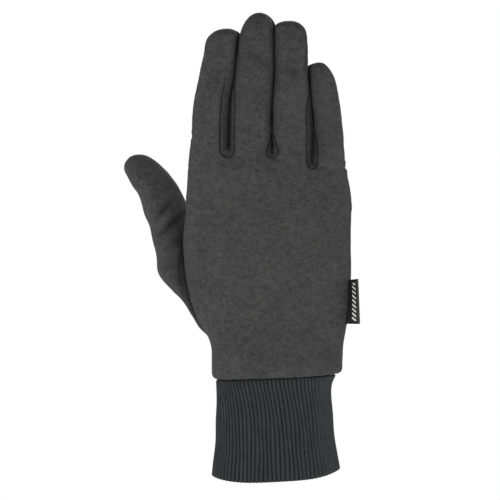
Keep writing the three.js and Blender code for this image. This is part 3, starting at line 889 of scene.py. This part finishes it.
def make_hand():
    """Skin of the hand in its panels: points, triangles, painted shade and piece numbers."""
    data, tris = cut_skin()
    points = data[:, :3]
    normals = unit(data[:, 3:])
    x, y, z = points.T
    distances = np.stack([strip_distance(k, points) for k in range(3)])
    left_over = np.choose(distances.argmin(axis=0), [seam_left(k, z) for k in range(3)])
    strips = -distances.min(axis=0) / np.maximum(np.abs(normals[:, 1]), 0.45)
    height = (strip_relief(strips) + pucker(strips, z + 0.6 * x, 11)) * left_over
    # Painted shade along the strips' seams and on their sunk floors
    shade = (bell(strips, 0.6) + STRIP_SHADE * smoothstep(1.3, 2.3, strips)) * left_over
    side = np.abs(y - side_seam_at(z)) / np.maximum(np.abs(normals[:, 0]), 0.4)
    side = np.where(strips > 0, NO_SEAM, side)
    height += 0.7 * seam_groove(side) + 0.8 * pucker(side, z, 23)
    thumb = np.abs(thumb_distance(points))
    height -= 0.25 * bell(thumb, 1.1)
    # Painted shade along the thumb's seam and in the slits
    shade += 0.4 * bell(thumb, 0.5) + slit_shade(x, y, z)
    rise = z - cuff_seam_at(x)
    turned = np.arctan2(y / WRIST_DEPTH, x / WRIST_WIDTH)
    for count, phase in CUFF_GATHERS:
        gather = np.sin(count * turned + phase + 0.05 * rise * math.sin(phase))
        height += 0.13 * gather * bell(rise, 6.0)
    height -= 0.8 * bell(rise, 0.8)
    for start, end, depth, spread, face in HAND_CREASES:
        dent = crease(points, normals, start, end, depth, spread, face)
        height -= dent
        # Painted shade in the creases
        shade += 0.5 * dent
    height += 0.22 * seeded_noise(points, 26, 5) + 0.07 * seeded_noise(points, 9, 6)
    points = points + height[:, None] * normals

    middle = points[tris].mean(axis=1)
    piece = np.where(middle[:, 1] < side_seam_at(middle[:, 2]), 0, 1)
    middle = data[tris, :3].mean(axis=1)
    for k in range(3):
        piece = np.where(strip_distance(k, middle) < 0, 2 + k, piece)
    return points, tris, np.clip(shade, 0, 1), piece


GAPS = ("index_middle", "middle_ring", "ring_little")
HAND_PIECES = [("back_skin", "back_panel"), ("palm_skin", "palm_panel")]
HAND_PIECES += [(f"fourchette_skin_{gap}", f"fourchette_{gap}") for gap in GAPS]


def thicken(obj, thickness, offset):
    """Cloth's thickness: on the inner side of the skin at offset -1, on both sides at 0."""
    solid = obj.modifiers.new("cloth", "SOLIDIFY")
    solid.thickness = thickness * MM
    solid.offset = offset
    solid.use_even_offset = False
    mesh = applied(obj)
    obj.modifiers.clear()
    old = obj.data
    obj.data = mesh
    bpy.data.meshes.remove(old)


def main_part(points, tris):
    """The largest connected part of a mesh."""
    label = np.arange(len(points))
    edges = tris[:, [0, 1, 1, 2]].reshape(-1, 2)
    while True:
        low = np.minimum(label[edges[:, 0]], label[edges[:, 1]])
        before = label.copy()
        np.minimum.at(label, edges[:, 0], low)
        np.minimum.at(label, edges[:, 1], low)
        label = label[label]
        if (label == before).all():
            break
    names, count = np.unique(label[tris[:, 0]], return_counts=True)
    return tris[label[tris[:, 0]] == names[np.argmax(count)]]


def add_shade(mesh, shade):
    """Painted shade at each point, darkest deep in seams, slits and creases, for the materials."""
    layer = mesh.attributes.new("shade", "FLOAT", "POINT")
    layer.data.foreach_set("value", np.asarray(shade, np.float32))


def add_piece(name, points, tris, shade, material, node):
    """One piece of cloth with its material and what it stands for."""
    points, tris, used = compact(points, tris)
    mesh = make_mesh(name, points, tris)
    add_shade(mesh, shade[used])
    obj = add_object(name, mesh)
    thicken(obj, CLOTH, -1)
    obj.data.materials.clear()
    obj.data.materials.append(material)
    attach(obj, "root")
    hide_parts(node)


# The same for the thumb, all on its back
THUMB_CREASES = [
    ((159.5, 235.5), (185, 210), 1.3, 1.7),
    ((155, 219.5), (171, 200), 1.15, 1.5),
    ((152, 202), (163, 190), 0.45, 1.7),
    ((146, 188), (157, 178), 0.3, 2.0),
    ((166, 248), (184, 236), 0.5, 2.4),
    ((160, 268), (180, 262), 0.4, 3.0),
    ((181.5, 250), (178.8, 272), 0.8, 0.9),
    ((178.8, 268), (183.5, 299), 0.8, 0.9),
]
THUMB_SEAM_INSET = 0.9


def index_side_distance(p):
    """Distance to the hand's skin, taken as on the index finger's side everywhere."""
    return hand_distance(p, np.zeros(len(p), int))


def make_thumb():
    """Skin of the thumb outside the hand: points, triangles and painted shade."""
    across, deep = oblong(THUMB_ROUND, THUMB_POWER)
    x = THUMB_MIDDLE[:, :1] + across * THUMB_SIDE[:, :1]
    y = THUMB_LEVEL[:, None] + deep * THUMB_HALF_DEEP[:, None] + thumb_roll(across, THUMB_ROLL[:, None])
    z = THUMB_MIDDLE[:, 1:] + across * THUMB_SIDE[:, 1:]
    rings = np.stack([x, y, z], axis=-1)
    points, faces = closed_loft(rings)
    tris = triangles_of(faces)
    normals = vertex_normals(points, tris)
    if ((points - points.mean(axis=0)) * normals).sum() < 0:
        tris = tris[:, ::-1]
        normals = -normals
    points = smoothed(points, tris, 4, 0.5)
    normals = vertex_normals(points, tris)
    shade = np.zeros(len(points))
    height = 0.2 * seeded_noise(points, 17, 8) + 0.08 * seeded_noise(points, 7, 9)
    for start, end, depth, spread in THUMB_CREASES:
        dent = crease(points, normals, start, end, depth, spread, -1)
        height += crease(points, normals, start, end, 0.45 * depth, 2.4 * spread, -1) - dent
        # Painted shade in each crease
        shade += 0.75 * dent
    reach = index_side_distance(points)
    edge = np.clip(reach, 0, 20)
    height += pucker(reach, points[:, 2], 31) - 0.5 * bell(edge, 1.2)
    # Painted shade on the thumb where it meets the hand
    shade += 0.75 * bell(edge, 1.6) + 0.6 * bell(edge, 7.0)
    points = points + height[:, None] * normals
    reach = index_side_distance(points)
    data, tris = split_by(np.hstack([points, shade[:, None]]), tris, reach + THUMB_SEAM_INSET)
    keep = index_side_distance(data[tris, :3].mean(axis=1)) > -THUMB_SEAM_INSET
    return data[:, :3], tris[keep], np.clip(data[:, 3], 0, 1)


# Ribs round the cuff and their depth. The hem slopes, lies higher towards its two sides, and is lifted.
RIB_COUNT = 78
RIB_RELIEF = 1.0
# Below 1 the crests are round and the valleys between them narrow
CREST_POWER = 0.62
CUFF_CLOTH = 1.9
HEM_SLOPE = 0.052
HEM_RISE = 3.2
HEM_LIFT = 0.85
STEPS_PER_RIB = 10
CUFF_ROW_COUNT = 76
OVAL_STEPS = 2881


def even_turns(half_wide, half_deep, count):
    """Turn angles that space points evenly round an oval."""
    fine = np.linspace(0, 2 * math.pi, OVAL_STEPS)
    mid = (fine[1:] + fine[:-1]) / 2
    steps = np.hypot(half_wide * np.sin(mid), half_deep * np.cos(mid))
    length = np.concatenate([[0], np.cumsum(steps)])
    wanted = np.linspace(0, length[-1], count, endpoint=False)
    return np.interp(wanted, length, fine)


def cuff_ring(up, height, inset, relief, drop=0.0):
    """One ring of the ribbed knit and its painted shade, darkest in the valleys; relief is how deep the
    valleys are.

    The ribs are flatter in front on the side towards the little finger and steeper towards the thumb.
    """
    half_wide = WRIST_WIDTH / 2 * float(smooth_value(CUFF, "wide", up)) - inset
    half_deep = WRIST_DEPTH / 2 * float(smooth_value(CUFF, "deep", up)) - inset
    count = RIB_COUNT * STEPS_PER_RIB
    turns = even_turns(half_wide, half_deep, count)
    rib = np.arange(count) / STEPS_PER_RIB
    crest = np.abs(np.cos(math.pi * rib)) ** CREST_POWER
    slant = float(smooth_value(CUFF, "slant", up))
    wobble = 0.12 * np.sin(rib * 0.83 + 3.1 * up) * np.sin(2 * math.pi * up + rib * 0.21)
    turns = turns + (slant + wobble) * 2 * math.pi / RIB_COUNT
    number = np.floor(rib + 0.5)
    uneven = 1 + 0.2 * np.sin(number * 2.4) * np.sin(number * 0.7 + 5 * up)
    flatter = 1 - 0.7 * smoothstep(0.62, 0.86, np.cos(turns)) * smoothstep(0.1, -0.2, np.sin(turns))
    steeper = 1 + 0.35 * smoothstep(-0.3, -0.8, np.cos(turns))
    uneven = uneven * flatter * steeper
    valley = relief * (1 - crest) * uneven
    shift = float(smooth_value(CUFF, "shift", up)) * WRIST_WIDTH
    x = shift + (half_wide - valley) * np.cos(turns)
    y = (half_deep - valley) * np.sin(turns)
    low = smoothstep(0.55, 0, up)
    high = smoothstep(0.6, 1, up)
    saddle = HEM_RISE * (x / half_wide) ** 4 + HEM_LIFT
    z = height + low * (HEM_SLOPE * x + saddle) + high * (cuff_seam_at(x) - CUFF_LENGTH)
    z = z + drop * (1 - crest)
    # Painted shade, darkest in the valleys between the ribs
    shade = (1 - crest) * min(1, relief / RIB_RELIEF) * np.clip(uneven, 0.25, 1.5)
    return np.stack([x, y, z, shade], axis=1)


def make_cuff():
    """Ribbed tube, folded round at its hem: points, faces and painted shade."""
    rings = []
    half = CUFF_CLOTH / 2
    for angle in np.linspace(math.pi / 2, 0, 5, endpoint=False):
        inset = half * (1 - math.cos(angle))
        height = half * (1 - math.sin(angle))
        relief = RIB_RELIEF * (1 - 0.3 * math.sin(angle))
        rings.append(cuff_ring(0, height, inset, relief, 0.8 * math.sin(angle)))
    for height in np.linspace(half, CUFF_LENGTH - 1.4, CUFF_ROW_COUNT):
        up = height / CUFF_LENGTH
        deeper = 1 + 0.5 * float(smoothstep(0.93, 1, up))
        rings.append(cuff_ring(up, height, 0, RIB_RELIEF * deeper))
    rings.append(cuff_ring(1, CUFF_LENGTH - 0.7, 0.35, 1.4 * RIB_RELIEF))
    rings.append(cuff_ring(1, CUFF_LENGTH - 0.25, 1.0, 0.8 * RIB_RELIEF))
    for height in np.linspace(CUFF_LENGTH - 0.7, half, 16):
        rings.append(cuff_ring(height / CUFF_LENGTH, height, CUFF_CLOTH, 0.25))
    for angle in np.linspace(0, math.pi / 2, 4, endpoint=False):
        inset = half * (1 + math.cos(angle))
        height = half * (1 - math.sin(angle))
        rings.append(cuff_ring(0, height, inset, 0.25))
    rings = np.stack(rings)
    places = rings[:, :, :3]
    swell = 0.3 * seeded_noise(places.reshape(-1, 3), 22, 14).reshape(places.shape[:2])
    outward = unit(places * np.array([1, 1.4, 0]))
    places = places + swell[:, :, None] * outward
    count, sides, _ = places.shape
    rows = np.arange(count * sides).reshape(count, sides)
    faces = quads_between(np.vstack([rows, rows[:1]]))
    return places.reshape(-1, 3), faces, rings[:, :, 3].ravel()


LABEL_LENGTH = 23.5
LABEL_WIDTH = 8.0
LABEL_HEIGHT = CUFF_LENGTH + 29.1
LABEL_LAYER = 0.17
LABEL_OPENING = 0.42
LABEL_SUNK = 1.4
# Shares of the way round the ribbon at which its fold starts and ends
FOLD_START = 0.46
FOLD_END = 0.54
ACROSS_STEPS = 30
ALONG_STEPS = 96
# X of the ribbon's fold at its lower and its upper end
LABEL_OUTER = (from_photo(359.3, 323)[0], from_photo(357.2, 281)[0])


def label_root(z):
    """X where the ribbon comes out of the seam, a little inside the hand's right edge."""
    return float(palm_reaches((z - CUFF_LENGTH) / PALM_LENGTH)[1]) - LABEL_SUNK


def ribbon_section(steps):
    """Across and depth of a ribbon folded in half, from one root round the fold to the other."""
    section = []
    open_half = LABEL_OPENING / 2
    flat = LABEL_WIDTH - open_half
    for i in range(steps + 1):
        t = i / steps
        if t < FOLD_START:
            section.append((t / FOLD_START * flat, -open_half))
        elif t > FOLD_END:
            section.append(((1 - t) / (1 - FOLD_END) * flat, open_half))
        else:
            turn = (t - FOLD_START) / (FOLD_END - FOLD_START) * math.pi
            section.append((flat + open_half * math.sin(turn), -open_half * math.cos(turn)))
    return section


def make_label(material):
    """Woven ribbon folded in half, twisted a little, standing out of the side seam."""
    section = ribbon_section(ACROSS_STEPS)
    points = []
    maps = []
    for s in np.linspace(0, 1, ALONG_STEPS + 1).tolist():
        z = LABEL_HEIGHT + s * LABEL_LENGTH
        outer = LABEL_OUTER[0] + (LABEL_OUTER[1] - LABEL_OUTER[0]) * s
        twist = math.acos(min(1, (outer - label_root(z)) / LABEL_WIDTH))
        depth = -SEAM_FORWARD - 0.6 - 0.5 * math.sin(math.pi * s)
        for i, (across, thick) in enumerate(section):
            cupped = thick - 0.35 * math.sin(math.pi * across / LABEL_WIDTH)
            x = label_root(z) + across * math.cos(twist) + cupped * math.sin(twist)
            y = depth - across * math.sin(twist) + cupped * math.cos(twist)
            points.append((x, y, z + 0.1 * across * s))
            maps.append((i / ACROSS_STEPS, s))
    rows = np.arange(len(points)).reshape(ALONG_STEPS + 1, ACROSS_STEPS + 1)
    quads = np.stack([rows[:-1, :-1], rows[:-1, 1:], rows[1:, 1:], rows[1:, :-1]], axis=-1)
    faces = quads.reshape(-1, 4).tolist()
    mesh = make_mesh("label_ribbon", points, faces)
    uv = mesh.uv_layers.new(name="ribbon")
    for loop in mesh.loops:
        uv.data[loop.index].uv = maps[loop.vertex_index]
    obj = add_object("label_ribbon", mesh)
    thicken(obj, LABEL_LAYER, 0)
    obj.data.materials.clear()
    obj.data.materials.append(material)
    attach(obj, "root")
    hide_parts("label")


def new_material(name):
    material = bpy.data.materials.new(name)
    material.use_nodes = True
    tree = material.node_tree
    tree.nodes.clear()
    output = tree.nodes.new("ShaderNodeOutputMaterial")
    shader = tree.nodes.new("ShaderNodeBsdfPrincipled")
    tree.links.new(shader.outputs["BSDF"], output.inputs["Surface"])
    return material, tree, shader


def node(tree, kind, inputs=None, **settings):
    made = tree.nodes.new(kind)
    for name, value in settings.items():
        setattr(made, name, value)
    for name, value in (inputs or {}).items():
        if isinstance(value, bpy.types.NodeSocket):
            tree.links.new(value, made.inputs[name])
        else:
            made.inputs[name].default_value = value
    return made


def math_node(tree, operation, a, b=0.0):
    return node(tree, "ShaderNodeMath", {0: a, 1: b}, operation=operation).outputs[0]


def times(tree, a, b):
    return math_node(tree, "MULTIPLY", a, b)


def noise(tree, vector, scale, detail=2.0, rough=0.5):
    inputs = {"Vector": vector, "Scale": scale, "Detail": detail, "Roughness": rough}
    return node(tree, "ShaderNodeTexNoise", inputs).outputs["Fac"]


def waves(tree, vector, direction, scale, distortion, detail_scale=1.0):
    inputs = {"Vector": vector, "Scale": scale, "Distortion": distortion, "Detail Scale": detail_scale}
    made = node(tree, "ShaderNodeTexWave", inputs, wave_type="BANDS", bands_direction=direction)
    return made.outputs["Fac"]


def weighted(tree, parts):
    """Sum of patterns, each times its weight."""
    mix = 0.0
    for part, weight in parts:
        mix = math_node(tree, "ADD", times(tree, part, weight), mix)
    return mix


def bumped(tree, height, strength, distance, more=None):
    """Normal of a bump; more may hold a normal that it lies over."""
    inputs = {"Height": height, "Strength": strength, "Distance": distance, **(more or {})}
    return node(tree, "ShaderNodeBump", inputs).outputs["Normal"]


def cloth_surface(tree, shader, colour, normal, roughness, specular):
    tree.links.new(colour, shader.inputs["Base Color"])
    tree.links.new(normal, shader.inputs["Normal"])
    shader.inputs["Roughness"].default_value = roughness
    shader.inputs["Specular IOR Level"].default_value = specular


def stretched(tree, vector, scale):
    return node(tree, "ShaderNodeMapping", {"Vector": vector, "Scale": scale}).outputs["Vector"]


def blend_colours(tree, factor, a, b):
    mixed = node(tree, "ShaderNodeMix", {}, data_type="RGBA")
    tree.links.new(factor, mixed.inputs[0])
    for socket, value in ((mixed.inputs[6], a), (mixed.inputs[7], b)):
        if isinstance(value, bpy.types.NodeSocket):
            tree.links.new(value, socket)
        else:
            socket.default_value = (*value, 1)
    return mixed.outputs[2]


def contrast(tree, value, low, high):
    inputs = {"Value": value, "From Min": low, "From Max": high}
    return node(tree, "ShaderNodeMapRange", inputs).outputs["Result"]


# Near black towards which the painted shade draws a colour
DEEP_SHADE = (0.006, 0.006, 0.006)


def shaded(tree, colour, darkest):
    """Painted shade: colour drawn towards black where the mesh says it lies deep in a seam or crease."""
    shade = node(tree, "ShaderNodeAttribute", {}, attribute_name="shade").outputs["Fac"]
    return blend_colours(tree, times(tree, shade, darkest), colour, DEEP_SHADE)


def jersey_material():
    """Brushed jersey: heathered charcoal fibres over faint knit rows, with a short matt nap."""
    material, tree, shader = new_material("brushed_jersey")
    place = node(tree, "ShaderNodeTexCoord").outputs["Object"]
    fleck = noise(tree, stretched(tree, place, (1000, 1000, 1150)), 1.0, 3.0, 0.65)
    rows = noise(tree, stretched(tree, place, (260, 260, 1500)), 1.0, 2.0, 0.5)
    mottle = noise(tree, place, 330.0, 3.0, 0.6)
    clouds = noise(tree, place, 60.0, 2.0, 0.5)
    mix = weighted(tree, ((fleck, 0.42), (rows, 0.16), (mottle, 0.3), (clouds, 0.12)))
    tone = contrast(tree, mix, 0.37, 0.63)
    colour = blend_colours(tree, tone, (0.0265, 0.0277, 0.0269), (0.0735, 0.0755, 0.073))
    nap = noise(tree, stretched(tree, place, (1700, 1700, 1500)), 1.0, 3.0, 0.7)
    normal = bumped(tree, mix, 0.5, 0.0008, {"Normal": bumped(tree, nap, 0.5, 0.0003)})
    # Painted shade from the mesh darkens the colour in seams, slits and creases.
    cloth_surface(tree, shader, shaded(tree, colour, 0.75), normal, 0.96, 0.15)
    shader.inputs["Sheen Weight"].default_value = 0.04
    shader.inputs["Sheen Roughness"].default_value = 0.6
    return material


def rib_material():
    """Fine rib knit: near black yarn with small stitches one above the other along each rib."""
    material, tree, shader = new_material("rib_knit")
    place = node(tree, "ShaderNodeTexCoord").outputs["Object"]
    stitch = waves(tree, place, "Z", 330.0, 2.0, 2.0)
    fibre = noise(tree, stretched(tree, place, (1500, 1500, 500)), 1.0, 3.0, 0.6)
    clouds = noise(tree, place, 160.0, 2.0, 0.5)
    mix = weighted(tree, ((fibre, 0.55), (clouds, 0.25), (stitch, 0.2)))
    tone = contrast(tree, mix, 0.35, 0.65)
    colour = blend_colours(tree, tone, (0.0235, 0.0245, 0.0266), (0.049, 0.0508, 0.055))
    height = math_node(tree, "ADD", times(tree, stitch, 0.35), fibre)
    # Painted shade from the mesh darkens the valleys between the ribs.
    cloth_surface(tree, shader, shaded(tree, colour, 0.95), bumped(tree, height, 0.5, 0.0003), 0.88, 0.2)
    shader.inputs["Sheen Weight"].default_value = 0.03
    shader.inputs["Sheen Roughness"].default_value = 0.5
    return material


def within(tree, value, low, high):
    """1 where a value lies between two bounds, else 0."""
    above = math_node(tree, "GREATER_THAN", value, low)
    return times(tree, above, math_node(tree, "LESS_THAN", value, high))


def label_material():
    """Woven ribbon: black ground, a plain band of pale slanted bars, and a grey selvedge."""
    material, tree, shader = new_material("woven_ribbon")
    uv = node(tree, "ShaderNodeUVMap", {}, uv_map="ribbon").outputs["UV"]
    split = node(tree, "ShaderNodeSeparateXYZ", {0: uv})
    across, along = split.outputs[0], split.outputs[1]
    slanted = math_node(tree, "ADD", times(tree, across, 0.5), along)
    place = math_node(tree, "FRACT", times(tree, slanted, 10.0))
    bar = within(tree, place, 0.28, 0.74)
    band = within(tree, across, 0.215, 0.36)
    ends = within(tree, along, 0.07, 0.92)
    mark = times(tree, times(tree, bar, band), ends)
    weft = waves(tree, uv, "Y", 24.0, 0.6)
    ground = blend_colours(tree, weft, (0.005, 0.005, 0.006), (0.013, 0.013, 0.014))
    thread = blend_colours(tree, weft, (0.42, 0.42, 0.41), (0.8, 0.8, 0.78))
    woven = blend_colours(tree, mark, ground, thread)
    edge_thread = blend_colours(tree, weft, (0.018, 0.018, 0.017), (0.07, 0.07, 0.066))
    colour = blend_colours(tree, within(tree, across, 0.41, 0.59), woven, edge_thread)
    cloth_surface(tree, shader, colour, bumped(tree, weft, 0.4, 0.0001), 0.7, 0.25)
    return material


jersey = jersey_material()
rib_knit = rib_material()
ribbon = label_material()

skin_points, skin_tris, skin_shade, skin_piece = make_hand()
for number, (name, replaced) in enumerate(HAND_PIECES):
    own_tris = skin_tris[skin_piece == number]
    if number < 2:
        own_tris = main_part(skin_points, own_tris)
    add_piece(name, skin_points, own_tris, skin_shade, jersey, replaced)

thumb_points, thumb_tris, thumb_shade = make_thumb()
thumb_tris = main_part(thumb_points, thumb_tris)
add_piece("thumb_skin", thumb_points, thumb_tris, thumb_shade, jersey, "thumb")

cuff_points, cuff_faces, cuff_shade = make_cuff()
cuff_mesh = make_mesh("cuff_knit", cuff_points, cuff_faces)
add_shade(cuff_mesh, cuff_shade)
cuff = add_object("cuff_knit", cuff_mesh)
cuff.data.materials.append(rib_knit)
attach(cuff, "root")
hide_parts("cuff")

make_label(ribbon)


# Floor, light and camera, in metres, and the middle of the photograph in millimetres
FLOOR_DROP = 0.16
FLOOR_SIZE = 1.3
CAMERA_DISTANCE = 1.35
CAMERA_LENS = 180
SENSOR = 36
VIEW_MIDDLE = from_photo(250, 250)
OBJECT_MIDDLE = (0, 0, 0.13)


def add_floor():
    """Pale floor that turns pure white towards the horizon."""
    mesh = bpy.data.meshes.new("floor")
    corners = ((-1, -1), (1, -1), (1, 1), (-1, 1))
    places = [(x * FLOOR_SIZE, y * FLOOR_SIZE, -FLOOR_DROP) for x, y in corners]
    mesh.from_pydata(places, [], [(0, 1, 2, 3)])
    floor = add_object("floor", mesh)
    material, tree, shader = new_material("pale_floor")
    place = node(tree, "ShaderNodeTexCoord").outputs["Object"]
    away = node(tree, "ShaderNodeVectorMath", {0: place}, operation="LENGTH").outputs["Value"]
    glow = contrast(tree, away, 0.35, 1.2)
    shader.inputs["Base Color"].default_value = (0.7, 0.7, 0.7, 1)
    shader.inputs["Roughness"].default_value = 0.9
    shader.inputs["Emission Color"].default_value = (1, 1, 1, 1)
    tree.links.new(glow, shader.inputs["Emission Strength"])
    floor.data.materials.append(material)


# Soft boxes: name, place, size and watts; all of them point at the glove's middle.
SOFT_BOXES = [
    ("key", (-0.35, -0.9, 0.05), (0.5, 0.6), 6.2),
    ("fill", (0.42, -0.95, -0.02), (0.5, 0.5), 2.2),
    ("right", (1.2, 0.1, 0.35), (0.6, 0.6), 4),
    ("left", (-1.2, 0.4, 0.4), (0.6, 0.6), 4),
    ("behind", (0.2, 1.0, 0.8), (0.9, 0.6), 14),
]
# Strength of the surroundings as light; the camera sees them white.
WORLD_LIGHT = 0.16


def add_area_light(name, place, size, power):
    data = bpy.data.lights.new(name, "AREA")
    data.shape = "RECTANGLE"
    data.size, data.size_y = size
    data.energy = power
    light = add_object(name, data)
    light.location = place
    light.rotation_euler = (Vector(OBJECT_MIDDLE) - Vector(place)).to_track_quat("-Z", "Y").to_euler()


def add_lights():
    """White surroundings that light the glove only softly, and five large soft boxes."""
    world = bpy.data.worlds.new("studio")
    world.use_nodes = True
    tree = world.node_tree
    background = tree.nodes["Background"]
    background.inputs["Color"].default_value = (1, 1, 1, 1)
    seen = node(tree, "ShaderNodeLightPath").outputs["Is Camera Ray"]
    strength = math_node(tree, "MAXIMUM", seen, WORLD_LIGHT)
    tree.links.new(strength, background.inputs["Strength"])
    bpy.context.scene.world = world
    for box in SOFT_BOXES:
        add_area_light(*box)


def add_camera():
    data = bpy.data.cameras.new("camera")
    data.lens = CAMERA_LENS
    data.sensor_width = SENSOR
    camera = add_object("camera", data)
    x, z = VIEW_MIDDLE
    camera.location = (x * MM, -CAMERA_DISTANCE, z * MM)
    camera.rotation_euler = (math.pi / 2, 0, 0)
    bpy.context.scene.camera = camera


add_floor()
add_lights()
add_camera()
bpy.context.scene.view_settings.view_transform = "Standard"
